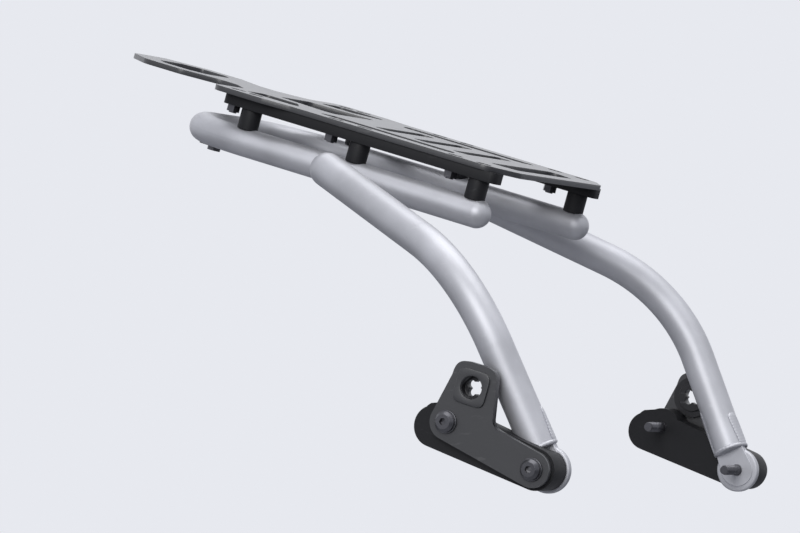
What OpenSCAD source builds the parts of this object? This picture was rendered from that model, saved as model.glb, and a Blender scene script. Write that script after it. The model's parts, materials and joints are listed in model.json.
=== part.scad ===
// Rear luggage rack frame of a motorcycle with the two pannier brackets at its feet.
// X points to the front of the motorcycle, Y to its left side and Z up.
// The origin is the middle of the deck's top face. Everything on the right is mirrored to the left.

/* [Deck] */
// Slope of the deck and the hoop, the rear end higher
deck_pitch = 17; // [10:1:22]
// Length of the deck in front of the rear wings' edge
deck_l = 252; // [248:1:280]
// Margin of the deck outside the rails
deck_margin = 1.5; // [1:0.5:8]
// How far the rear wings stand out past the deck's sides
wing_out = 8; // [4:1:12]
// Half width of the deck's front edge
deck_front_half_w = 78; // [60:1:80]
// Thickness of the deck plate
deck_t = 4; // [3:0.5:5]
// Length of the carrier tongue behind the wings
tongue_l = 118; // [90:1:130]
// Half width of the tongue's neck
neck_half_w = 34; // [30:1:40]
// Half width of the tongue's head
head_half_w = 52; // [46:1:60]
// Corner radius of the deck's outline
deck_corner_r = 12; // [8:1:16]

/* [Rails and legs] */
// Width of the rail under each side of the deck
rail_w = 18; // [16:1:20]
// Height of the rail
rail_h = 8; // [6:1:12]
// Length of the rail
rail_l = 236; // [226:1:240]
// Height of the legs between hoop and rail
leg_h = 15; // [12:1:22]
// Diameter of the legs
leg_d = 15; // [13:1:16]
// Distance from the middle of the deck to the rear legs
leg_rear_x = 95; // [85:1:98]
// Distance from the middle of the deck to the front legs
leg_front_x = 102; // [85:1:103]

/* [Hoop and grab rails] */
// Diameter of the hoop's tube
hoop_d = 22; // [20:0.5:24]
// Wall of the tubes
tube_wall = 2; // [1.5:0.25:3]
// Distance from the middle plane to the hoop's arms
arm_y = 94; // [90:1:96]
// Length of the hoop behind the middle of the deck, to its rear tube's middle
hoop_rear_x = 156; // [145:1:165]
// Bend radius of the hoop's rear corners
hoop_bend_r = 62; // [50:1:70]
// Length of the arms in front of the middle of the deck
arm_front_x = 118; // [112:1:125]
// Diameter of the grab rails' tube
grab_d = 26; // [24:0.5:28]
// Bend radius of the grab rails
grab_bend_r = 125; // [110:1:135]
// Where a grab rail leaves the hoop's arm, from the middle of the deck
grab_start_x = -10; // [-20:1:0]
// Distance that a grab rail runs forward before its bend
grab_run_x = 168; // [160:1:176]
// Distance that a grab rail sinks below the hoop's plane before its bend
grab_drop = 34; // [28:1:40]
// Distance that a grab rail spreads outward before its bend
grab_spread = 88; // [75:1:100]

/* [Feet and pannier brackets] */
// Height of the front frame bolts below the deck's middle
foot_drop = 256; // [240:1:265]
// Distance of the front frame bolts in front of the deck's middle
foot_x = 190; // [182:1:198]
// Distance from the front frame bolt back to the rear frame bolt
bolt_back = 66; // [60:1:72]
// Height of the rear frame bolt above the front frame bolt
bolt_rise = 34; // [28:1:38]
// Distance from the front frame bolt back to the lock socket
lock_back = 46; // [42:1:50]
// Height of the lock socket above the front frame bolt
lock_rise = 58; // [54:1:64]
// Distance from the middle plane to the outer face of the foot lugs
lug_y = 192; // [188:1:196]
// Thickness of the foot lugs
lug_t = 6; // [5:0.5:8]
// Thickness of the spacer block behind the pannier bracket
block_t = 22; // [16:1:26]
// Thickness of the pannier bracket
bracket_t = 6; // [5:0.5:8]
// Radius of the bracket's ends round the frame bolts
bracket_end_r = 13; // [12:0.5:15]
// Radius of the bracket's upper end round the lock socket
bracket_lobe_r = 17; // [16:0.5:19]
// Radius of the lock socket's opening
socket_r = 8; // [7:0.25:9]
// Outer radius of the lock socket
socket_out_r = 12.5; // [11.5:0.25:13.5]
// Diameter of the frame bolts
bolt_d = 8; // [8:1:10]
// Free length of the frame bolts behind the block
bolt_free = 28; // [20:1:35]
// Diameter of the screws that hold deck, rails and legs
screw_d = 6; // [5:0.5:6]

/* [Stay] */
// Width of the stay plate under the hoop's rear tube
stay_w = 70; // [56:1:80]
// Height of the stay plate
stay_h = 44; // [38:1:52]
// Thickness of the stay plate
stay_t = 4; // [3:0.5:5]

/* [Hidden] */
$fn = 64;

// Faces that touch keep this much apart, round fits keep the second
seat = 0.02;
fit = 0.15;
collar_l = 1;
bend_mark = 0.05;

hoop_r = hoop_d / 2;
grab_r = grab_d / 2;
bolt_r = bolt_d / 2;
thread_step = 0.1;
screw_r = screw_d / 2;
csk_r = screw_d;
csk_h = csk_r - screw_r;
head_sink = 0.4;
deck_rear_x = -deck_l / 2;
deck_front_x = deck_l / 2;
deck_half_w = arm_y + rail_w / 2 + deck_margin;
tongue_x = deck_rear_x - tongue_l;
rail_top = -deck_t - seat;
leg_top = rail_top - rail_h - seat;
leg_low = leg_top - leg_h;
spot_depth = tube_wall * 0.6;
hoop_z = leg_low - seat + spot_depth - hoop_r;
leg_x = [-leg_rear_x, 0, leg_front_x];
deck_screw_x = [-leg_rear_x - 16, -25, leg_front_x - 24];
nut_r = 5.5;
nut_h = 5;
rivet_r = 4.5;
rivet_h = 10;
head_h = 3.3;

foot_z = -foot_drop;
front_bolt = [foot_x, foot_z];
rear_bolt = [foot_x - bolt_back, foot_z + bolt_rise];
lock_at = [foot_x - lock_back, foot_z + lock_rise];
lug_r = 13;
lug_l = 44;
lug_in = lug_y - lug_t;
block_y = lug_y + seat;
block_r = bracket_end_r + 2;
bracket_y = block_y + block_t + seat;
bracket_out = bracket_y + bracket_t;
washer_t = 1.6;
washer_r = bolt_r * 2.1;
bolt_head_r = bolt_r * 1.85;
bolt_head_h = bolt_r * 1.15;
key_r = bolt_r * 0.7;
ring_t = 4;
ring_r = socket_out_r + 3.5;
socket_back = 2;
bore_depth = bracket_t;
weld_bite = tube_wall * 0.7;

function unit(v) = v / norm(v);

// A point of the tilted deck's own frame, seen in the upright one
function upright(p) = [p[0] * cos(deck_pitch) + p[2] * sin(deck_pitch), p[1],
    p[2] * cos(deck_pitch) - p[0] * sin(deck_pitch)];

grab_y = arm_y + hoop_r + grab_r - weld_bite;
tube_end = 17;
grab_foot = [foot_x, -lug_y + lug_t / 2, foot_z];
grab_corner = upright([grab_start_x + grab_run_x, -grab_y - grab_spread, hoop_z - grab_drop]);
grab_down = unit(grab_foot - grab_corner);
grab_points = [upright([grab_start_x, -grab_y, hoop_z]), grab_corner, grab_foot - grab_down * tube_end];

// Puts children, drawn along +Z from the origin, at point p along direction d
module along(p, d) {
    translate(p) rotate([0, acos(d[2] / norm(d)), atan2(d[1], d[0])]) children();
}

// Distance from corner b to where its bend starts
function bend_cut(a, b, c, r_bend) = r_bend * tan(acos(unit(b - a) * unit(c - b)) / 2);

// One bend of a round bar: centre line radius r_bend at corner b between a and c
module bend(a, b, c, r_bend, r) {
    u = unit(b - a);
    w = unit(c - b);
    axis = unit(cross(u, w));
    out = cross(u, axis);
    centre = b - u * bend_cut(a, b, c, r_bend) - out * r_bend;
    multmatrix([
        [out[0], u[0], axis[0], centre[0]],
        [out[1], u[1], axis[1], centre[1]],
        [out[2], u[2], axis[2], centre[2]],
        [0, 0, 0, 1]])
        rotate_extrude(angle = acos(u * w)) translate([r_bend, 0]) circle(r);
}

module collar(r) {
    translate([0, 0, -collar_l / 2]) cylinder(h = collar_l, r = r + bend_mark);
}

// Round bar of radius r through points, with bends of radius r_bend at the inner ones. The bending
// tool leaves a faint collar where each bend starts and ends
module bar(points, r_bend, r) {
    last = len(points) - 1;
    for (i = [0 : last - 1]) {
        d = unit(points[i + 1] - points[i]);
        cut0 = i == 0 ? 0 : bend_cut(points[i - 1], points[i], points[i + 1], r_bend);
        cut1 = i == last - 1 ? 0 : bend_cut(points[i], points[i + 1], points[i + 2], r_bend);
        run = norm(points[i + 1] - points[i]) - cut0 - cut1;
        along(points[i] + d * cut0, d) {
            cylinder(h = run, r = r);
            if (i > 0) collar(r);
            if (i < last - 1) translate([0, 0, run]) collar(r);
        }
    }
    for (i = [1 : last - 1]) bend(points[i - 1], points[i], points[i + 1], r_bend, r);
}

// Arc of radius r that rounds corner b between a and c
function corner(a, b, c, r, steps = 6) =
    let (u = unit(a - b), w = unit(c - b), half = acos(u * w) / 2,
        centre = b + unit(u + w) * r / sin(half),
        from = b + u * r / tan(half) - centre, to = b + w * r / tan(half) - centre,
        start = atan2(from[1], from[0]),
        turn = atan2(from[0] * to[1] - from[1] * to[0], from * to))
    [for (i = [0 : steps]) centre + r * [cos(start + turn * i / steps), sin(start + turn * i / steps)]];

// Outline through points, each corner rounded by r
module rounded(points, r) {
    n = len(points);
    polygon([for (i = [0 : n - 1]) each corner(points[(i + n - 1) % n], points[i], points[(i + 1) % n], r)]);
}

module in_deck() {
    rotate([0, deck_pitch, 0]) children();
}

module to_left() {
    mirror([0, 1, 0]) children();
}

// Puts a profile drawn in X and Z at side distance y, as thick as t outward from there
module upright_plate(y, t) {
    translate([0, -y, 0]) rotate([90, 0, 0]) linear_extrude(t) children();
}

module both_sides(xs, y = arm_y) {
    for (side = [-1, 1], x = xs) translate([x, side * y, 0]) children();
}

hoop_points = [
    [arm_front_x - hoop_r, -arm_y, hoop_z], [-hoop_rear_x, -arm_y, hoop_z],
    [-hoop_rear_x, arm_y, hoop_z], [arm_front_x - hoop_r, arm_y, hoop_z]];
stay_screw_y = stay_w / 2 - 14;
stay_top = hoop_z - hoop_r - bend_mark - seat;

module hoop_bar(r) {
    bar(hoop_points, hoop_bend_r, r);
    both_sides([arm_front_x - hoop_r]) translate([0, 0, hoop_z]) sphere(r);
}

// U of tube with domed front ends, spot faces for the legs, holes for rivet nuts and stay screws
module hoop() {
    color("silver") in_deck() difference() {
        hoop_bar(hoop_r);
        hoop_bar(hoop_r - tube_wall);
        both_sides(leg_x) translate([0, 0, leg_low - seat]) cylinder(h = hoop_r, r = leg_d / 2 + fit);
        both_sides(leg_x) translate([0, 0, hoop_z]) cylinder(h = hoop_d, r = rivet_r + fit);
        both_sides([-hoop_rear_x], stay_screw_y) translate([0, 0, hoop_z - hoop_d])
            cylinder(h = hoop_d, r = screw_r + fit);
    }
}

// Grab rail: domed end saddled on the hoop's arm, spreads outward, turns down, slotted for its lug
module grab_rail() {
    color("silver") difference() {
        union() {
            bar(grab_points, grab_bend_r, grab_r);
            translate(grab_points[0]) sphere(grab_r);
        }
        union() {
            bar(grab_points, grab_bend_r, grab_r - tube_wall);
            translate(grab_points[0]) sphere(grab_r - tube_wall);
            translate(grab_points[2]) sphere(grab_r - tube_wall);
        }
        in_deck() translate([-leg_rear_x, -arm_y, hoop_z]) rotate([0, 90, 0])
            cylinder(h = leg_rear_x + leg_front_x, r = hoop_r + seat);
        translate([foot_x - 2 * lug_l, -lug_y - seat, foot_z - lug_l])
            cube([3 * lug_l, lug_t + 2 * seat, 2 * lug_l + seat]);
    }
}

lug_dir = [grab_down[0], grab_down[2]] / norm([grab_down[0], grab_down[2]]);

// Flat lug welded in the grab rail's slot and drilled for the front frame bolt
module foot_lug() {
    color("silver") upright_plate(lug_in, lug_t) difference() {
        hull() {
            circle_at(front_bolt, lug_r);
            circle_at(front_bolt - lug_dir * (lug_l - lug_r), grab_r - 3);
        }
        circle_at(front_bolt, bolt_r + fit);
    }
}

module circle_at(p, r) {
    translate(p) circle(r);
}

// Right half of the deck's outline: tongue head, neck, wing, side and chamfered front corner
head_taper = 26;
head_l = 58;
neck_start = 84;
neck_flare = [18, 22];
wing_l = 46;
wing_taper = 20;
front_chamfer = 16;
wing_w = deck_half_w + wing_out;
wing_front_x = deck_rear_x + wing_l;
deck_half = [
    [tongue_x, head_half_w / 2], [tongue_x + head_taper, head_half_w], [tongue_x + head_l, head_half_w],
    [tongue_x + neck_start, neck_half_w], [deck_rear_x - neck_flare[0], neck_half_w],
    [deck_rear_x, neck_half_w + neck_flare[1]], [deck_rear_x, wing_w], [wing_front_x, wing_w],
    [wing_front_x + wing_taper, deck_half_w], [deck_front_x - front_chamfer, deck_half_w],
    [deck_front_x, deck_front_half_w]];
deck_outline = concat(deck_half, [for (i = [len(deck_half) - 1 : -1 : 0]) [deck_half[i][0], -deck_half[i][1]]]);

slot_r = 6;
rail_margin = 4;
window_y = arm_y - rail_w / 2 - rail_margin;
window_rim = 14;
side_slot_w = 20;
side_slot_front = 56;

// Windows of one side of the deck: under the wing, along the rail
module side_windows() {
    rear = deck_rear_x + window_rim;
    inside = 48;
    lean = 8;
    rounded([[rear, inside], [rear, window_y], [rear + 48, window_y], [rear + 30, inside]], slot_r);
    start = rear + 62;
    end = deck_front_x - side_slot_front;
    rounded([[start + lean, window_y - side_slot_w], [start, window_y], [end, window_y],
        [end - lean, window_y - side_slot_w]], slot_r);
}

// Windows on the middle plane: tongue head, neck, body and the hand slot at the front
module middle_windows() {
    head = tongue_x + 20;
    head_w = head_half_w - 20;
    rounded([[head, 18], [head + 12, head_w], [head + 34, head_w], [head + 44, 20],
        [head + 44, -20], [head + 34, -head_w], [head + 12, -head_w], [head, -18]], slot_r);
    neck = deck_rear_x + 16;
    neck_l = 54;
    rounded([[neck, 26], [neck + neck_l, 40], [neck + neck_l, -40], [neck, -26]], slot_r);
    hand = deck_front_x - window_rim;
    hand_l = 22;
    rounded([[hand - hand_l, 62], [hand, 52], [hand, -52], [hand - hand_l, -62]], slot_r);
    bar_slot_l = 14;
    bar_slot_w = 44;
    for (x = [-18, 16, 50]) rounded([[x, bar_slot_w], [x + bar_slot_l, bar_slot_w],
        [x + bar_slot_l, -bar_slot_w], [x, -bar_slot_w]], slot_r);
}

module deck_holes(r, h) {
    both_sides(concat(leg_x, deck_screw_x)) cylinder(h = h, r = r);
}

// Laser-cut deck with its carrier tongue, wings, windows and countersunk screw holes
module deck() {
    color("dimgray") in_deck() difference() {
        translate([0, 0, -deck_t]) linear_extrude(deck_t) difference() {
            rounded(deck_outline, deck_corner_r);
            side_windows();
            mirror([0, 1]) side_windows();
            middle_windows();
        }
        translate([0, 0, -2 * deck_t]) deck_holes(screw_r + fit, 3 * deck_t);
        both_sides(concat(leg_x, deck_screw_x)) translate([0, 0, -csk_h - head_sink])
            cylinder(h = csk_h + seat, r1 = screw_r + fit, r2 = csk_r + fit);
        translate([0, 0, -head_sink]) deck_holes(csk_r + fit, 2 * head_sink);
    }
}

// Rail between deck and legs
module rail() {
    color("dimgray") in_deck() translate([0, -arm_y, rail_top - rail_h]) difference() {
        linear_extrude(rail_h) rounded([[-rail_l / 2, -rail_w / 2], [rail_l / 2, -rail_w / 2],
            [rail_l / 2, rail_w / 2], [-rail_l / 2, rail_w / 2]], rail_w / 3);
        for (x = concat(leg_x, deck_screw_x)) translate([x, 0, -rail_h]) cylinder(h = 3 * rail_h, r = screw_r + fit);
    }
}

// Round leg with a waist, on the hoop's spot face
module leg(x) {
    waist = leg_d / 2 - 1.5;
    color("dimgray") in_deck() translate([x, -arm_y, leg_low]) rotate_extrude() polygon([
        [screw_r + fit, 0], [leg_d / 2, 0], [leg_d / 2, leg_h * 0.25], [waist, leg_h * 0.4],
        [waist, leg_h * 0.6], [leg_d / 2, leg_h * 0.75], [leg_d / 2, leg_h], [screw_r + fit, leg_h]]);
}

// Countersunk screw, its top at the origin, l long
module countersunk(l) {
    difference() {
        union() {
            translate([0, 0, -l]) cylinder(h = l - csk_h, r = screw_r);
            translate([0, 0, -csk_h]) cylinder(h = csk_h, r1 = screw_r, r2 = csk_r);
        }
        translate([0, 0, -csk_h * 0.7]) cylinder(h = csk_h, r = screw_r * 0.65, $fn = 6);
    }
}

module leg_screws() {
    color("gray") in_deck() both_sides(leg_x) translate([0, 0, -head_sink])
        countersunk(-head_sink - leg_low + rivet_h + 1);
}

// Rivet nuts in the hoop under the legs
module leg_nuts() {
    color("gray") in_deck() both_sides(leg_x) translate([0, 0, leg_low - seat - rivet_h]) difference() {
        cylinder(h = rivet_h, r = rivet_r);
        translate([0, 0, -1]) cylinder(h = rivet_h + 2, r = screw_r + seat);
    }
}

module deck_screws() {
    color("gray") in_deck() both_sides(deck_screw_x) translate([0, 0, -head_sink])
        countersunk(-head_sink - leg_top + nut_h + 1);
}

module deck_nuts() {
    color("gray") in_deck() both_sides(deck_screw_x) translate([0, 0, leg_top - nut_h]) difference() {
        cylinder(h = nut_h, r = nut_r, $fn = 6);
        translate([0, 0, -1]) cylinder(h = nut_h + 2, r = screw_r + seat);
    }
}

// Block that holds the pannier bracket off the frame, relieved where the grab rail passes
module spacer_block() {
    back = [rear_bolt[0] - 5, rear_bolt[1] - 3];
    color("dimgray") difference() {
        upright_plate(block_y, block_t) difference() {
            union() {
                hull() {
                    circle_at(back, block_r);
                    circle_at(front_bolt, block_r);
                }
                circle_at(rear_bolt, block_r);
            }
            circle_at(front_bolt, bolt_r + fit);
            circle_at(rear_bolt, bolt_r + fit);
        }
        along(grab_foot, -grab_down) cylinder(h = 4 * lug_l, r = grab_r + 2 * fit);
    }
}

// Laser-cut bracket: bar between the frame bolts and a lobe for the lock socket
module pannier_bracket() {
    knee = front_bolt + (rear_bolt - front_bolt) * 0.55;
    color("dimgray") upright_plate(bracket_y, bracket_t) difference() {
        union() {
            hull() {
                circle_at(rear_bolt, bracket_end_r);
                circle_at(front_bolt, bracket_end_r);
            }
            hull() {
                circle_at(rear_bolt, bracket_end_r);
                circle_at(lock_at, bracket_lobe_r);
                circle_at(knee, bracket_end_r);
            }
        }
        circle_at(front_bolt, bolt_r + fit);
        circle_at(rear_bolt, bolt_r + fit);
        circle_at(lock_at, socket_out_r + fit);
    }
}

// Lock socket: round mouth, then a four-lobed opening through its back
module lock_socket() {
    length = bracket_t + ring_t + socket_back;
    lobe = socket_r * 0.36;
    color("dimgray") translate([lock_at[0], -bracket_out, lock_at[1]]) rotate([-90, 0, 0]) difference() {
        union() {
            cylinder(h = bracket_t, r = socket_out_r);
            cylinder(h = length, r = socket_out_r - 1);
        }
        translate([0, 0, -1]) cylinder(h = bore_depth + 1, r = socket_r);
        translate([0, 0, bore_depth - 1]) {
            cylinder(h = length, r = socket_r * 0.55);
            for (a = [45 : 90 : 315]) rotate(a) translate([socket_r * 0.52, 0]) cylinder(h = length, r = lobe);
        }
    }
}

// Ring that clamps the lock socket behind the bracket
module socket_ring() {
    color("gray") translate([lock_at[0], seat - bracket_y, lock_at[1]]) rotate([-90, 0, 0]) difference() {
        cylinder(h = ring_t, r = ring_r);
        translate([0, 0, -1]) cylinder(h = ring_t + 2, r = socket_out_r - 1 + seat);
    }
}

// Button-head bolt from outside, through washer, bracket and block, with its free end inward
module frame_bolt(at, inner_y) {
    under_head = bracket_out + washer_t + 2 * seat;
    color("gray") translate([at[0], -under_head, at[1]]) rotate([-90, 0, 0]) difference() {
        union() {
            translate([0, 0, -bolt_head_h]) cylinder(h = bolt_head_h * 0.55, r1 = bolt_head_r * 0.72, r2 = bolt_head_r);
            translate([0, 0, -bolt_head_h * 0.45]) cylinder(h = bolt_head_h * 0.45, r = bolt_head_r);
            cylinder(h = under_head - inner_y, r = bolt_r);
            cylinder(h = under_head - inner_y + bolt_free, r = bolt_r - thread_step);
        }
        translate([0, 0, -2 * bolt_head_h]) cylinder(h = 1.7 * bolt_head_h, r = key_r, $fn = 6);
    }
}

module washers() {
    color("gray") for (at = [front_bolt, rear_bolt])
        upright_plate(bracket_out + seat, washer_t) translate(at) difference() {
            circle(washer_r);
            circle(bolt_r + fit);
        }
}

// Plate under the hoop's rear tube that ties it to the tail
module stay() {
    front = -hoop_rear_x + stay_h;
    back = -hoop_rear_x - hoop_r;
    color("dimgray") in_deck() translate([0, 0, stay_top - stay_t]) linear_extrude(stay_t) difference() {
        rounded([[back, stay_w / 2 - 6], [-hoop_rear_x + hoop_r, stay_w / 2], [front, stay_w / 3],
            [front, -stay_w / 3], [-hoop_rear_x + hoop_r, -stay_w / 2], [back, 6 - stay_w / 2]], 5);
        for (side = [-1, 1]) {
            translate([-hoop_rear_x, side * stay_screw_y]) circle(screw_r + fit);
            translate([front - 11, side * (stay_w / 3 - 11)]) circle(bolt_r + fit);
        }
    }
}

module stay_screws() {
    color("gray") in_deck() both_sides([-hoop_rear_x], stay_screw_y) translate([0, 0, stay_top - stay_t - seat]) {
        translate([0, 0, -head_h]) cylinder(h = head_h, r = screw_r * 1.7);
        cylinder(h = stay_t + tube_wall + 5, r = screw_r);
    }
}

hoop();
grab_rail();  // grab_rail_right
to_left() grab_rail();  // grab_rail_left
deck();
rail();  // rail_right
to_left() rail();  // rail_left
leg(-leg_rear_x);  // leg_rear_right
to_left() leg(-leg_rear_x);  // leg_rear_left
leg(0);  // leg_middle_right
to_left() leg(0);  // leg_middle_left
leg(leg_front_x);  // leg_front_right
to_left() leg(leg_front_x);  // leg_front_left
leg_screws();
leg_nuts();
deck_screws();
deck_nuts();
foot_lug();  // foot_lug_right
to_left() foot_lug();  // foot_lug_left
spacer_block();  // spacer_block_right
to_left() spacer_block();  // spacer_block_left
pannier_bracket();  // pannier_bracket_right
to_left() pannier_bracket();  // pannier_bracket_left
lock_socket();  // lock_socket_right
to_left() lock_socket();  // lock_socket_left
socket_ring();  // socket_ring_right
to_left() socket_ring();  // socket_ring_left
frame_bolt(front_bolt, lug_in);  // front_bolt_right
to_left() frame_bolt(front_bolt, lug_in);  // front_bolt_left
frame_bolt(rear_bolt, block_y);  // rear_bolt_right
to_left() frame_bolt(rear_bolt, block_y);  // rear_bolt_left
washers();  // washers_right
to_left() washers();  // washers_left
stay();
stay_screws();
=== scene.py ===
"""Looks of a motorcycle's rear rack frame with its pannier brackets: finishes, eased edges,
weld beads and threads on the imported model, with the camera and the light of a pale studio."""
import json
import math

import bmesh
import bpy
import numpy as np
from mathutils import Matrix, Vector


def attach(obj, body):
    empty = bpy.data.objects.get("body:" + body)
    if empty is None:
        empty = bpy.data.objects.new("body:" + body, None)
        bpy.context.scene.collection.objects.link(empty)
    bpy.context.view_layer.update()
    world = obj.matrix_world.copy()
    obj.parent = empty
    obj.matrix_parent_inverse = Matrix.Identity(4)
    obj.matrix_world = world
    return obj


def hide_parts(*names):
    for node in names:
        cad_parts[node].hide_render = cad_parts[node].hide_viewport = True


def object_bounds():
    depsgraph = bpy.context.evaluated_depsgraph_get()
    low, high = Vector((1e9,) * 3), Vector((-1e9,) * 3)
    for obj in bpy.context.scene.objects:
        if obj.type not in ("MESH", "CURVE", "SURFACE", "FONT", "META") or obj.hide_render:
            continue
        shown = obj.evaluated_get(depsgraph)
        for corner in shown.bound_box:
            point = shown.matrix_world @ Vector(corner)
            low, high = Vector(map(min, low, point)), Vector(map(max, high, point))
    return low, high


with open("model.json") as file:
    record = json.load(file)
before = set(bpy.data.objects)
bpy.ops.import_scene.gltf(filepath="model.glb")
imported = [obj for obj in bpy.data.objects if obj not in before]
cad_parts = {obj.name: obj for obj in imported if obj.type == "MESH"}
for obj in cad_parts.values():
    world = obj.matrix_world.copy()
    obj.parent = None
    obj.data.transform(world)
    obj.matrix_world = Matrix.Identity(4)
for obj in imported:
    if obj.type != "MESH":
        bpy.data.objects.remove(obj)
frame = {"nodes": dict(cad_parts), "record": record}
cad_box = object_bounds()

MM = 0.001

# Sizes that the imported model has, in metres
DECK_PITCH = math.radians(17)
ARM_Y = 94 * MM
HOOP_R = 11 * MM
HOOP_Z = -36.86 * MM
GRAB_R = 13 * MM
GRAB_START = np.array([-10, 116.6, -36.86]) * MM
GRAB_RUN = np.array([168, 88, -34]) * MM
GRAB_FOOT = np.array([190, 189, -256]) * MM
TUBE_END = 17 * MM
LUG_Y = 186 * MM
BLOCK_Y = 192 * MM
BRACKET_OUT = 220.04 * MM
FRONT_BOLT = (190 * MM, -256 * MM)
REAR_BOLT = (124 * MM, -222 * MM)
LOCK = (144 * MM, -198 * MM)
LOCK_TILT = math.radians(17)
SLOT_TOP = -210.6 * MM
SLOT_WELD_HALF_W = 4.8 * MM
SLOT_WELD_H = 1.2 * MM
LOBE_R = 17 * MM
LOBE_RIM = 1.5 * MM
LOBE_HALF = 17.4 * MM
CORNER_BACK = 6.5 * MM
CORNER_ROUND = 5 * MM
BLOCK_EXTRA = 8 * MM
BLOCK_END_FROM = 5.5 * MM
BOLT_FREE = 28 * MM
BOLT_R = 3.9 * MM
THREAD_PITCH = 1.25 * MM
THREAD_DEPTH = 0.6 * MM
DECK_AXIS = (math.sin(DECK_PITCH), 0.0, math.cos(DECK_PITCH))
SIDE_AXIS = (0.0, 1.0, 0.0)
SIDES = {"right": -1, "left": 1}


# Meshes

def mesh_from_grid(name, points, close_u=False, close_v=False):
    """A surface through points[u, v]; either way round can close on itself."""
    nu, nv = points.shape[:2]
    index = np.arange(nu * nv).reshape(nu, nv)
    a = index if close_u else index[:-1]
    b = np.roll(index, -1, 0) if close_u else index[1:]
    if close_v:
        quads = np.stack([a, b, np.roll(b, -1, 1), np.roll(a, -1, 1)], -1)
    else:
        quads = np.stack([a[:, :-1], b[:, :-1], b[:, 1:], a[:, 1:]], -1)
    mesh = bpy.data.meshes.new(name)
    mesh.from_pydata(points.reshape(-1, 3).tolist(), [], quads.reshape(-1, 4).tolist())
    return add_piece(name, mesh)


def add_piece(name, mesh):
    piece = bpy.data.objects.new(name, mesh)
    bpy.context.scene.collection.objects.link(piece)
    return piece


def closed_tube(name, points):
    """A surface round points[u, v], closed round v, with a flat face at either end."""
    piece = mesh_from_grid(name, points, close_v=True)
    bm = bmesh.new()
    bm.from_mesh(piece.data)
    bmesh.ops.holes_fill(bm, edges=[e for e in bm.edges if e.is_boundary], sides=0)
    bm.to_mesh(piece.data)
    bm.free()
    face_outwards(piece.data)
    smooth_below(piece.data, 40)
    return piece


def smooth_below(mesh, angle):
    """Shades the mesh round, with edges that turn by more than angle degrees kept sharp."""
    bm = bmesh.new()
    bm.from_mesh(mesh)
    for face in bm.faces:
        face.smooth = True
    for edge in bm.edges:
        edge.smooth = not edge.is_manifold or edge.calc_face_angle(0) < math.radians(angle)
    bm.to_mesh(mesh)
    bm.free()


def face_outwards(mesh):
    bm = bmesh.new()
    bm.from_mesh(mesh)
    bmesh.ops.remove_doubles(bm, verts=bm.verts, dist=1e-7)
    bmesh.ops.recalc_face_normals(bm, faces=bm.faces)
    bm.to_mesh(mesh)
    bm.free()


def finish_piece(piece, slot, material=None):
    piece.data.materials.clear()
    piece.data.materials.append(material or MATERIALS[slot])
    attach(piece, "root")


def eased_copy(node, width, axis, reshape=None, prepare=None):
    """The node's own solid with its sharp edges eased by width, as a tumbled laser cut has. Faces across
    the axis stay flat and the eased strips between them are shaded round."""
    mesh = frame["nodes"][node].data.copy()
    mesh.name = node + "_eased"
    bm = bmesh.new()
    bm.from_mesh(mesh)
    bmesh.ops.remove_doubles(bm, verts=bm.verts, dist=1e-6)
    bmesh.ops.dissolve_limit(bm, angle_limit=math.radians(0.3), verts=bm.verts, edges=bm.edges)
    if prepare:
        prepare(bm)
    sharp = [e for e in bm.edges if e.is_manifold and e.calc_face_angle(0) > math.radians(40)]
    bmesh.ops.bevel(bm, geom=sharp, offset=width, segments=3, profile=0.5, affect="EDGES",
                    clamp_overlap=True, harden_normals=False)
    if reshape:
        reshape(bm)
    bm.normal_update()
    for face in bm.faces:
        face.smooth = abs(face.normal.dot(Vector(axis))) < 0.9995
    for edge in bm.edges:
        edge.smooth = not edge.is_manifold or edge.calc_face_angle(0) < math.radians(35)
    bm.to_mesh(mesh)
    bm.free()
    piece = add_piece(node + "_eased", mesh)
    # Spacer blocks and rails take the darker matt black, whose lower base colour is painted shade.
    finish_piece(piece, slots[node], MATT_SHADED_BLACK if node.startswith(SHADED_MATT_NODES) else None)
    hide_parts(node)
    return piece


def in_deck(points):
    """Points of the deck's tilted frame, turned upright about Y."""
    c, s = math.cos(DECK_PITCH), math.sin(DECK_PITCH)
    x, y, z = points[..., 0], points[..., 1], points[..., 2]
    return np.stack([x * c + z * s, y, z * c - x * s], -1)


def bead(name, path, radius, ripple):
    """A closed weld bead: a circle of radius carried along path; the radius swells and sinks by ripple
    in half-round steps, |sin|, as each drop of weld lies on the one before it."""
    tangent = np.roll(path, -1, 0) - np.roll(path, 1, 0)
    tangent /= np.linalg.norm(tangent, axis=1, keepdims=True)
    outward = path - path.mean(0)
    side = outward - tangent * (outward * tangent).sum(1, keepdims=True)
    side /= np.linalg.norm(side, axis=1, keepdims=True)
    up = np.cross(side, tangent)
    turn = np.linspace(0, 2 * np.pi, 14, endpoint=False)
    step = np.linalg.norm(np.roll(path, -1, 0) - path, axis=1)
    drops = round(step.sum() / (1.1 * radius))
    part = step.cumsum() / step.sum()
    r = radius * (1 - ripple + ripple * np.abs(np.sin(part * drops * np.pi)))
    ring = np.cos(turn)[None, :, None] * side[:, None] + np.sin(turn)[None, :, None] * up[:, None]
    piece = mesh_from_grid(name, path[:, None] + r[:, None, None] * ring, close_u=True, close_v=True)
    face_outwards(piece.data)
    smooth_below(piece.data, 180)
    return piece


# Shader groups and materials

def node_at(tree, kind, **values):
    node = tree.nodes.new(kind)
    for key, value in values.items():
        setattr(node, key, value)
    return node


def group(name, inputs, outputs):
    tree = bpy.data.node_groups.new(name, "ShaderNodeTree")
    for label, kind in inputs:
        tree.interface.new_socket(label, in_out="INPUT", socket_type=kind)
    for label, kind in outputs:
        tree.interface.new_socket(label, in_out="OUTPUT", socket_type=kind)
    return tree, tree.nodes.new("NodeGroupInput"), tree.nodes.new("NodeGroupOutput")


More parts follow.
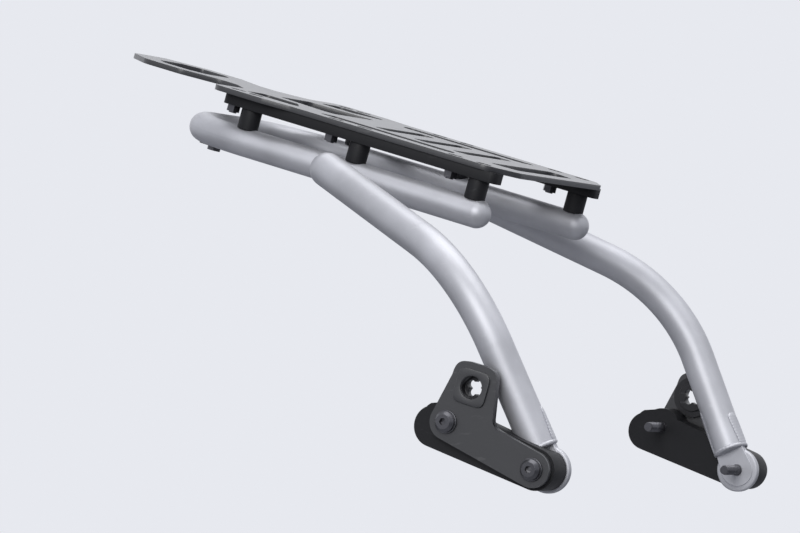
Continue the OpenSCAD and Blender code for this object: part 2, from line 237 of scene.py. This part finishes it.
def make_grain():
    """Fine grain of a sprayed coat: small bumps over slow orange peel, put out as a height."""
    tree, gin, gout = group("coat_grain", [("Vector", "NodeSocketVector"), ("Grain Scale", "NodeSocketFloat"),
                                           ("Peel Scale", "NodeSocketFloat"), ("Peel", "NodeSocketFloat")],
                            [("Height", "NodeSocketFloat")])
    grain = node_at(tree, "ShaderNodeTexNoise")
    grain.inputs["Detail"].default_value = 3
    peel = node_at(tree, "ShaderNodeTexNoise")
    peel.inputs["Detail"].default_value = 1
    mix = node_at(tree, "ShaderNodeMath", operation="MULTIPLY_ADD")
    tree.links.new(gin.outputs["Vector"], grain.inputs["Vector"])
    tree.links.new(gin.outputs["Vector"], peel.inputs["Vector"])
    tree.links.new(gin.outputs["Grain Scale"], grain.inputs["Scale"])
    tree.links.new(gin.outputs["Peel Scale"], peel.inputs["Scale"])
    tree.links.new(peel.outputs["Fac"], mix.inputs[0])
    tree.links.new(gin.outputs["Peel"], mix.inputs[1])
    tree.links.new(grain.outputs["Fac"], mix.inputs[2])
    tree.links.new(mix.outputs[0], gout.inputs["Height"])
    return tree


def make_handling():
    """Slow change of tone and thin scuffs: a colour and a roughness that drift over the surface."""
    tree, gin, gout = group("handling", [("Vector", "NodeSocketVector"), ("Colour", "NodeSocketColor"),
                                         ("Scuff Colour", "NodeSocketColor"), ("Scuffs", "NodeSocketFloat"),
                                         ("Roughness", "NodeSocketFloat"), ("Drift", "NodeSocketFloat")],
                            [("Colour", "NodeSocketColor"), ("Roughness", "NodeSocketFloat")])
    cloud = node_at(tree, "ShaderNodeTexNoise")
    cloud.inputs["Scale"].default_value = 28
    cloud.inputs["Detail"].default_value = 4
    streak_map = node_at(tree, "ShaderNodeMapping")
    streak_map.inputs["Scale"].default_value = (60, 900, 260)
    streak_map.inputs["Rotation"].default_value = (0.4, 0.5, 0.3)
    streak = node_at(tree, "ShaderNodeTexNoise")
    streak.inputs["Scale"].default_value = 1
    streak.inputs["Detail"].default_value = 5
    thin = node_at(tree, "ShaderNodeMapRange")
    thin.inputs["From Min"].default_value = 0.64
    thin.inputs["From Max"].default_value = 0.74
    amount = node_at(tree, "ShaderNodeMath", operation="MULTIPLY")
    tone = node_at(tree, "ShaderNodeMapRange")
    tone.inputs["From Min"].default_value = 0.3
    tone.inputs["From Max"].default_value = 0.7
    tone.inputs["To Min"].default_value = 0.88
    tone.inputs["To Max"].default_value = 1.08
    shade = node_at(tree, "ShaderNodeVectorMath", operation="SCALE")
    blend = node_at(tree, "ShaderNodeMix", data_type="RGBA")
    centred = node_at(tree, "ShaderNodeMath", operation="SUBTRACT")
    centred.inputs[1].default_value = 0.5
    rough = node_at(tree, "ShaderNodeMath", operation="MULTIPLY_ADD")
    links = tree.links
    links.new(gin.outputs["Vector"], cloud.inputs["Vector"])
    links.new(gin.outputs["Vector"], streak_map.inputs["Vector"])
    links.new(streak_map.outputs["Vector"], streak.inputs["Vector"])
    links.new(streak.outputs["Fac"], thin.inputs["Value"])
    links.new(thin.outputs["Result"], amount.inputs[0])
    links.new(gin.outputs["Scuffs"], amount.inputs[1])
    links.new(cloud.outputs["Fac"], tone.inputs["Value"])
    links.new(gin.outputs["Colour"], shade.inputs[0])
    links.new(tone.outputs["Result"], shade.inputs["Scale"])
    links.new(amount.outputs[0], blend.inputs["Factor"])
    links.new(shade.outputs["Vector"], blend.inputs["A"])
    links.new(gin.outputs["Scuff Colour"], blend.inputs["B"])
    links.new(cloud.outputs["Fac"], centred.inputs[0])
    links.new(centred.outputs[0], rough.inputs[0])
    links.new(gin.outputs["Drift"], rough.inputs[1])
    links.new(gin.outputs["Roughness"], rough.inputs[2])
    links.new(blend.outputs["Result"], gout.inputs["Colour"])
    links.new(rough.outputs[0], gout.inputs["Roughness"])
    return tree


GRAIN = make_grain()
HANDLING = make_handling()


def coat(name, colour, scuff, scuffs, rough, drift, metallic, grain, peel_scale, peel, depth, clear=0.0,
         clear_rough=0.2, specular=0.5):
    """A sprayed or plated coat: tone and scuffs from handling, height from coat_grain."""
    material = bpy.data.materials.new(name)
    material.use_nodes = True
    tree = material.node_tree
    shader = tree.nodes["Principled BSDF"]
    where = tree.nodes.new("ShaderNodeTexCoord")
    touch = tree.nodes.new("ShaderNodeGroup")
    touch.node_tree = HANDLING
    touch.inputs["Colour"].default_value = (*colour, 1)
    touch.inputs["Scuff Colour"].default_value = (*scuff, 1)
    touch.inputs["Scuffs"].default_value = scuffs
    touch.inputs["Roughness"].default_value = rough
    touch.inputs["Drift"].default_value = drift
    height = tree.nodes.new("ShaderNodeGroup")
    height.node_tree = GRAIN
    height.inputs["Grain Scale"].default_value = grain
    height.inputs["Peel Scale"].default_value = peel_scale
    height.inputs["Peel"].default_value = peel
    bump = tree.nodes.new("ShaderNodeBump")
    bump.inputs["Distance"].default_value = depth
    bump.inputs["Strength"].default_value = 1
    shader.inputs["Metallic"].default_value = metallic
    shader.inputs["Specular IOR Level"].default_value = specular
    shader.inputs["Coat Weight"].default_value = clear
    shader.inputs["Coat Roughness"].default_value = clear_rough
    links = tree.links
    links.new(where.outputs["Object"], touch.inputs["Vector"])
    links.new(where.outputs["Object"], height.inputs["Vector"])
    links.new(touch.outputs["Colour"], shader.inputs["Base Color"])
    links.new(touch.outputs["Roughness"], shader.inputs["Roughness"])
    links.new(height.outputs["Height"], bump.inputs["Height"])
    links.new(bump.outputs["Normal"], shader.inputs["Normal"])
    return material


SILVER = coat("silver_lacquer", (0.51, 0.515, 0.55), (0.68, 0.68, 0.70), 0.25, 0.50, 0.10, 0.5,
              2600, 160, 1.5, 0.00002, clear=0.15, clear_rough=0.34)
BLACK = coat("black_powder_coat", (0.019, 0.0195, 0.023), (0.10, 0.10, 0.105), 0.35, 0.47, 0.12, 0.0,
             1500, 240, 0.6, 0.00005, clear=0.8, clear_rough=0.3)
ZINC = coat("black_zinc", (0.020, 0.020, 0.023), (0.2, 0.2, 0.21), 0.4, 0.36, 0.12, 0.3,
            3000, 300, 0.4, 0.00002)
STEEL = coat("dark_screw_steel", (0.10, 0.10, 0.11), (0.35, 0.35, 0.36), 0.6, 0.33, 0.14, 0.85,
             3400, 300, 0.4, 0.00002)
# A darker copy of black_powder_coat. Its matt, uncoated finish is real, but its lower base colour is painted
# shade for the parts that sit below and behind the plates: spacer blocks, rails and leg sleeves.
MATT_SHADED_BLACK = coat("matt_black_painted_shade", (0.007, 0.0072, 0.009), (0.05, 0.05, 0.055), 0.3, 0.55, 0.1, 0.0,
            1100, 200, 0.5, 0.00005, specular=0.3)

# Nodes that take the darker matt black, whose lower base colour is painted shade.
SHADED_MATT_NODES = ("spacer_block", "rail_")
MATERIALS = {"silver_paint": SILVER, "black_powder_coat": BLACK, "black_zinc": ZINC, "fastener_steel": STEEL}

slots = {part["node"]: part["material_slot"] for part in frame["record"]["subparts"]}
for node, obj in frame["nodes"].items():
    obj.data.materials.clear()
    obj.data.materials.append(MATERIALS[slots[node]])


# Eased edges of the plates, the blocks and the rails

EASED = {"deck": (0.35, DECK_AXIS), "rail_right": (0.6, DECK_AXIS), "rail_left": (0.6, DECK_AXIS),
         "stay": (0.4, DECK_AXIS), "foot_lug_right": (0.5, SIDE_AXIS), "foot_lug_left": (0.5, SIDE_AXIS),
         "spacer_block_right": (1.6, SIDE_AXIS), "spacer_block_left": (1.6, SIDE_AXIS),
         "pannier_bracket_right": (0.7, SIDE_AXIS), "pannier_bracket_left": (0.7, SIDE_AXIS),
         "lock_socket_right": (0.4, SIDE_AXIS), "lock_socket_left": (0.4, SIDE_AXIS),
         "washers_right": (0.3, SIDE_AXIS), "washers_left": (0.3, SIDE_AXIS)}


def square_lobe(bm):
    """Draws the round lobe at the lock into a rounded square, radius = s / (|cos|^4 + |sin|^4)^(1/4)."""
    for vert in bm.verts:
        x, z = vert.co.x - LOCK[0], vert.co.z - LOCK[1]
        r = math.hypot(x, z)
        if z > 0 and LOBE_R - LOBE_RIM < r < LOBE_R + 0.1 * MM:
            a = math.atan2(z, x) + LOCK_TILT
            wanted = LOBE_HALF / (math.cos(a) ** 4 + math.sin(a) ** 4) ** 0.25 / LOBE_R
            vert.co.x, vert.co.z = LOCK[0] + x * wanted, LOCK[1] + z * wanted


def round_inner_corner(bm):
    """Moves the corner between lobe and bar back along the bar, then rounds it."""
    bar = Vector((FRONT_BOLT[0] - REAR_BOLT[0], 0, FRONT_BOLT[1] - REAR_BOLT[1])).normalized()
    corner = [e for e in bm.edges if e.is_manifold and not e.is_convex
              and abs((e.verts[0].co - e.verts[1].co).normalized().y) > 0.99
              and e.calc_face_angle(0) > math.radians(30)]
    for vert in {v for e in corner for v in e.verts}:
        vert.co -= bar * CORNER_BACK
    bmesh.ops.bevel(bm, geom=corner, offset=CORNER_ROUND, segments=8, profile=0.5, affect="EDGES")


def longer_back(bm):
    """Moves the block's rear end, from a little behind its rear bolt, further back."""
    for vert in bm.verts:
        if vert.co.x < REAR_BOLT[0] - BLOCK_END_FROM:
            vert.co.x -= BLOCK_EXTRA


RESHAPED = {"pannier_bracket_right": square_lobe, "pannier_bracket_left": square_lobe,
            "spacer_block_right": longer_back, "spacer_block_left": longer_back}
PREPARED = {"pannier_bracket_right": round_inner_corner, "pannier_bracket_left": round_inner_corner}
for node, (width, axis) in EASED.items():
    eased_copy(node, width * MM, axis, RESHAPED.get(node), PREPARED.get(node))


# Frame bolts: eased heads, and threads on the free ends

def turned_down(at, inner):
    """Makes the free end of a bolt, nearer the middle plane than inner, as thin as the thread's root."""
    def reshape(bm):
        for vert in bm.verts:
            if abs(vert.co.y) < inner:
                scale = (BOLT_R - THREAD_DEPTH - 0.05 * MM) / BOLT_R
                vert.co.x = at[0] + (vert.co.x - at[0]) * scale
                vert.co.z = at[1] + (vert.co.z - at[1]) * scale
    return reshape


def thread(name, at, inner, side):
    """Thread of a bolt's free end: radius = root + depth * |2 p - 1|, where p is the part of a turn
    that the helix is past at that place, faded out over the first and the last turn."""
    length = BOLT_FREE - 1.2 * MM
    t = np.linspace(0, length, int(length / THREAD_PITCH) * 8)[:, None]
    a = np.linspace(0, 2 * np.pi, 28, endpoint=False)[None]
    part = (t / THREAD_PITCH + a / (2 * np.pi)) % 1
    fade = np.clip(np.minimum(t, length - t) / THREAD_PITCH, 0, 1)
    r = BOLT_R - THREAD_DEPTH + THREAD_DEPTH * np.abs(2 * part - 1) * fade
    y = side * (inner - 0.4 * MM - t) + 0 * a
    return closed_tube(name, np.stack([at[0] + r * np.cos(a), y, at[1] + r * np.sin(a)], -1))


for label, side in SIDES.items():
    for which, at, inner in (("front", FRONT_BOLT, LUG_Y), ("rear", REAR_BOLT, BLOCK_Y)):
        node = f"{which}_bolt_{label}"
        eased_copy(node, 0.3 * MM, SIDE_AXIS, turned_down(at, inner - 0.2 * MM))
        finish_piece(thread(f"{which}_thread_{label}", at, inner, side), "fastener_steel")


# Weld beads and the foot of the grab rails

def saddle_path(side):
    """Closed line where a grab rail meets the hoop's arm. From a point of the arm's outer side it looks
    along the arm's skin each way round for the place that lies one tube radius from the grab rail's axis."""
    run = GRAB_RUN / np.linalg.norm(GRAB_RUN)
    turn = np.linspace(0, 2 * np.pi, 80, endpoint=False)
    near, far = np.zeros_like(turn), np.full_like(turn, 20 * MM)
    for _ in range(30):
        mid = (near + far) / 2
        x = GRAB_START[0] - 1 * MM + mid * np.cos(turn)
        phi = mid * np.sin(turn) / HOOP_R
        point = np.stack([x, ARM_Y + HOOP_R * np.cos(phi), HOOP_Z + HOOP_R * np.sin(phi)], -1)
        offset = point - GRAB_START
        along = np.clip(offset @ run, 0, None)
        inside = np.linalg.norm(offset - along[:, None] * run, axis=1) < GRAB_R
        near, far = np.where(inside, mid, near), np.where(inside, far, mid)
    return in_deck(point * [1, side, 1])


def grab_axis(side):
    corner = in_deck(GRAB_START + GRAB_RUN)
    down = GRAB_FOOT - corner
    down /= np.linalg.norm(down)
    end = GRAB_FOOT - down * TUBE_END
    return end * [1, side, 1], down * [1, side, 1]


def slot_weld(name, side, way):
    """Weld that fills the lug's slot on a grab rail's front (way 1) or rear (way -1) wall. An oval lies on
    the rail's skin, across its axis, and is carried up the middle of the slot; it swells by |sin| as drops
    of weld do, and shrinks to its ends as the square root of 1 - u^8, with u from -1 to 1."""
    end, down = grab_axis(side)
    out = np.cross(down, [0.0, 1.0, 0.0])
    out *= way * math.copysign(1, out[0]) / np.linalg.norm(out)
    axis = end - np.linspace(-1 * MM, 60 * MM, 240)[:, None] * down
    beside = (side * (LUG_Y + BLOCK_Y) / 2 - axis[:, 1:2]) / GRAB_R
    ahead = np.sqrt(np.clip(1 - beside ** 2, 0, None))
    sideways = np.array([0.0, 1.0, 0.0])
    normal = ahead * out + beside * sideways
    across = ahead * sideways - beside * out
    middle = axis + (GRAB_R - 0.4 * MM) * normal
    keep = middle[:, 2] < SLOT_TOP
    u = np.linspace(-1, 1, keep.sum())
    drops = 1 + 0.05 * np.abs(np.sin(np.arange(keep.sum()) * 0.33))
    size = (np.sqrt(np.clip(1 - u ** 8, 0.02, 1)) * drops)[:, None, None]
    turn = np.linspace(0, 2 * np.pi, 20, endpoint=False)[None, :, None]
    oval = SLOT_WELD_HALF_W * np.cos(turn) * across[keep][:, None]
    oval = oval + SLOT_WELD_H * np.sin(turn) * normal[keep][:, None]
    return closed_tube(name, middle[keep][:, None] + size * oval)


def end_cap(name, side):
    """Turned cap that closes a grab rail's foot: a disc with a weld bead round its rim."""
    end, down = grab_axis(side)
    across = np.cross(down, [0.0, 1.0, 0.0])
    across /= np.linalg.norm(across)
    other = np.cross(down, across)
    rim = np.linspace(-0.75, 1.0, 15) * np.pi / 2
    swell = 1.7 * MM
    radius = np.concatenate([GRAB_R - 0.9 * MM + swell * np.cos(rim), [8 * MM, 3 * MM, 0.4 * MM]])
    depth = np.concatenate([swell * np.sin(rim), [1.9 * MM, 2.1 * MM, 2.1 * MM]])
    a = np.linspace(0, 2 * np.pi, 96, endpoint=False)
    ripple = 1 + 0.012 * np.sin(28 * a)
    ring = np.cos(a)[None, :, None] * across + np.sin(a)[None, :, None] * other
    points = end + depth[:, None, None] * down + (radius[:, None] * ripple)[..., None] * ring
    return closed_tube(name, points)


def lock_plate(name, side):
    """Raised rounded square round the lock socket's mouth: from the hole's circle out to a superellipse
    |x|^n + |z|^n = s^n, with both rims eased over a quarter of a turn."""
    a = np.linspace(0, 2 * np.pi, 96, endpoint=False)
    power, half, hole, height, ease = 5, 12.6 * MM, 8.3 * MM, 1.6 * MM, 0.5 * MM
    square = half / (np.abs(np.cos(a)) ** power + np.abs(np.sin(a)) ** power) ** (1 / power)
    quarter = np.linspace(0, np.pi / 2, 5)
    rows = [(hole + 0 * a, -1 * MM)]
    rows += [(hole + ease * (1 - np.cos(q)) + 0 * a, height - ease + ease * np.sin(q)) for q in quarter]
    rows += [(square - ease * (1 - np.sin(q)), height - ease + ease * np.cos(q)) for q in quarter]
    rows += [(square, -1 * MM)]
    points = np.empty((len(rows), len(a), 3))
    for i, (r, up) in enumerate(rows):
        x, z = r * np.cos(a), r * np.sin(a)
        points[i, :, 0] = LOCK[0] + x * math.cos(LOCK_TILT) + z * math.sin(LOCK_TILT)
        points[i, :, 1] = side * (BRACKET_OUT + up)
        points[i, :, 2] = LOCK[1] + z * math.cos(LOCK_TILT) - x * math.sin(LOCK_TILT)
    piece = mesh_from_grid(name, points, close_u=True, close_v=True)
    face_outwards(piece.data)
    smooth_below(piece.data, 40)
    return piece


def turned(name, centre, axis, profile, count=64):
    """A piece turned on a lathe: each pair of profile is a height along axis and the radius there."""
    axis = np.array(axis)
    across = np.cross(axis, [0.3, 0.9, 0.1])
    across /= np.linalg.norm(across)
    other = np.cross(axis, across)
    a = np.linspace(0, 2 * np.pi, count, endpoint=False)
    ring = np.cos(a)[:, None] * across + np.sin(a)[:, None] * other
    points = np.array([centre + height * axis + radius * ring for height, radius in profile])
    return closed_tube(name, points)


def eased_cylinder(length, radius, ease):
    """Profile of a cylinder with both rims eased over a quarter of a turn."""
    quarter = np.linspace(0, np.pi / 2, 6)
    low = [(ease * (1 - math.cos(q)), radius - ease * (1 - math.sin(q))) for q in quarter]
    return low + [(length - height, r) for height, r in reversed(low)]


LEG_X = {"rear": -95 * MM, "middle": 0.0, "front": 102 * MM}
LEG_LOW = -27.6 * MM
LEG_H = 15.6 * MM
for label, side in SIDES.items():
    for which, x in LEG_X.items():
        foot = in_deck(np.array([x, side * ARM_Y, LEG_LOW]))
        sleeve = turned(f"leg_sleeve_{which}_{label}", foot, DECK_AXIS,
                        eased_cylinder(LEG_H, 8 * MM, 0.7 * MM))
        # The leg sleeves take the darker matt black, whose lower base colour is painted shade.
        finish_piece(sleeve, "black_powder_coat", MATT_SHADED_BLACK)
        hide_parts(f"leg_{which}_{label}")
    place = np.array([FRONT_BOLT[0], side * (LUG_Y + 0.6 * MM), FRONT_BOLT[1]])
    flange = turned("foot_flange_" + label, place, (0, side, 0), eased_cylinder(5.2 * MM, 17 * MM, 1.4 * MM))
    finish_piece(flange, "silver_paint")

for label, side in SIDES.items():
    finish_piece(bead("saddle_weld_" + label, saddle_path(side), 2.3 * MM, 0.2), "silver_paint")
    finish_piece(end_cap("foot_cap_" + label, side), "silver_paint")
    finish_piece(slot_weld("slot_weld_front_" + label, side, 1), "silver_paint")
    finish_piece(slot_weld("slot_weld_rear_" + label, side, -1), "silver_paint")
    finish_piece(lock_plate("lock_plate_" + label, side), "black_powder_coat")


# Stage, light and camera

def area_light(name, place, aim, size, power):
    data = bpy.data.lights.new(name, "AREA")
    data.shape = "RECTANGLE"
    data.size, data.size_y = size
    data.energy = power
    lamp = bpy.data.objects.new(name, data)
    bpy.context.scene.collection.objects.link(lamp)
    lamp.location = place
    lamp.rotation_euler = (Vector(aim) - Vector(place)).to_track_quat("-Z", "Y").to_euler()


PALE = (0.80, 0.815, 0.865)
FLOOR_Z = -2.6

world = bpy.data.worlds.new("studio")
bpy.context.scene.world = world
world.use_nodes = True
wt = world.node_tree
for item in list(wt.nodes):
    wt.nodes.remove(item)
path = wt.nodes.new("ShaderNodeLightPath")
seen = node_at(wt, "ShaderNodeMath", operation="MAXIMUM")
ambient = wt.nodes.new("ShaderNodeBackground")
ambient.inputs["Color"].default_value = (0.80, 0.82, 0.88, 1)
ambient.inputs["Strength"].default_value = 0.40
pale = wt.nodes.new("ShaderNodeBackground")
pale.inputs["Color"].default_value = (*PALE, 1)
pale.inputs["Strength"].default_value = 1.0
pick = wt.nodes.new("ShaderNodeMixShader")
out = wt.nodes.new("ShaderNodeOutputWorld")
wt.links.new(path.outputs["Is Camera Ray"], seen.inputs[0])
wt.links.new(path.outputs["Is Glossy Ray"], seen.inputs[1])
wt.links.new(seen.outputs[0], pick.inputs["Fac"])
wt.links.new(ambient.outputs[0], pick.inputs[1])
wt.links.new(pale.outputs[0], pick.inputs[2])
wt.links.new(pick.outputs[0], out.inputs["Surface"])

floor_mesh = bpy.data.meshes.new("floor")
REACH = 40.0
floor_mesh.from_pydata([(-REACH, -REACH, FLOOR_Z), (REACH, -REACH, FLOOR_Z), (REACH, REACH, FLOOR_Z),
                        (-REACH, REACH, FLOOR_Z)], [], [(0, 1, 2, 3)])
floor = add_piece("floor", floor_mesh)
floor_paint = bpy.data.materials.new("floor_paint")
floor_paint.use_nodes = True
ft = floor_paint.node_tree
ray = ft.nodes.new("ShaderNodeLightPath")
shade = node_at(ft, "ShaderNodeMix", data_type="RGBA")
shade.inputs["A"].default_value = (0.74, 0.75, 0.79, 1)
shade.inputs["B"].default_value = (0.12, 0.12, 0.13, 1)
ft.links.new(ray.outputs["Is Diffuse Ray"], shade.inputs["Factor"])
ft.links.new(shade.outputs["Result"], ft.nodes["Principled BSDF"].inputs["Base Color"])
lift = node_at(ft, "ShaderNodeMath", operation="MULTIPLY")
lift.inputs[1].default_value = 0.5
ft.links.new(ray.outputs["Is Camera Ray"], lift.inputs[0])
ft.links.new(lift.outputs[0], ft.nodes["Principled BSDF"].inputs["Emission Strength"])
ft.nodes["Principled BSDF"].inputs["Emission Color"].default_value = (*PALE, 1)
ft.nodes["Principled BSDF"].inputs["Roughness"].default_value = 0.9
facing = ft.nodes.new("ShaderNodeNewGeometry")
clear_back = ft.nodes.new("ShaderNodeBsdfTransparent")
choose = ft.nodes.new("ShaderNodeMixShader")
ft.links.new(facing.outputs["Backfacing"], choose.inputs["Fac"])
ft.links.new(ft.nodes["Principled BSDF"].outputs[0], choose.inputs[1])
ft.links.new(clear_back.outputs[0], choose.inputs[2])
ft.links.new(choose.outputs[0], ft.nodes["Material Output"].inputs["Surface"])
floor.data.materials.append(floor_paint)

lo, hi = cad_box
centre = (Vector(lo) + Vector(hi)) / 2
area_light("soft_top", centre + Vector((0.5, 0.2, 2.2)), centre, (2.4, 2.4), 42)
area_light("soft_side", centre + Vector((0.6, -2.6, 1.0)), centre, (1.6, 1.8), 42)
area_light("soft_back", centre + Vector((-1.3, 3.0, 1.0)), centre, (4.2, 1.5), 3.5)

VIEW_AZIMUTH = math.radians(25)
VIEW_ELEVATION = math.radians(-2.6)
VIEW_DISTANCE = 3.5
camera_data = bpy.data.cameras.new("camera")
camera_data.sensor_width = 36
camera_data.lens = 205
camera_data.clip_start = 0.05
camera_data.clip_end = 200
camera = bpy.data.objects.new("camera", camera_data)
bpy.context.scene.collection.objects.link(camera)
back = Vector((math.sin(VIEW_AZIMUTH) * math.cos(VIEW_ELEVATION),
               -math.cos(VIEW_AZIMUTH) * math.cos(VIEW_ELEVATION), math.sin(VIEW_ELEVATION)))
camera.location = centre + back * VIEW_DISTANCE
camera.rotation_euler = back.to_track_quat("Z", "Y").to_euler()
bpy.context.scene.camera = camera

settings = bpy.context.scene.view_settings
settings.view_transform = "Standard"
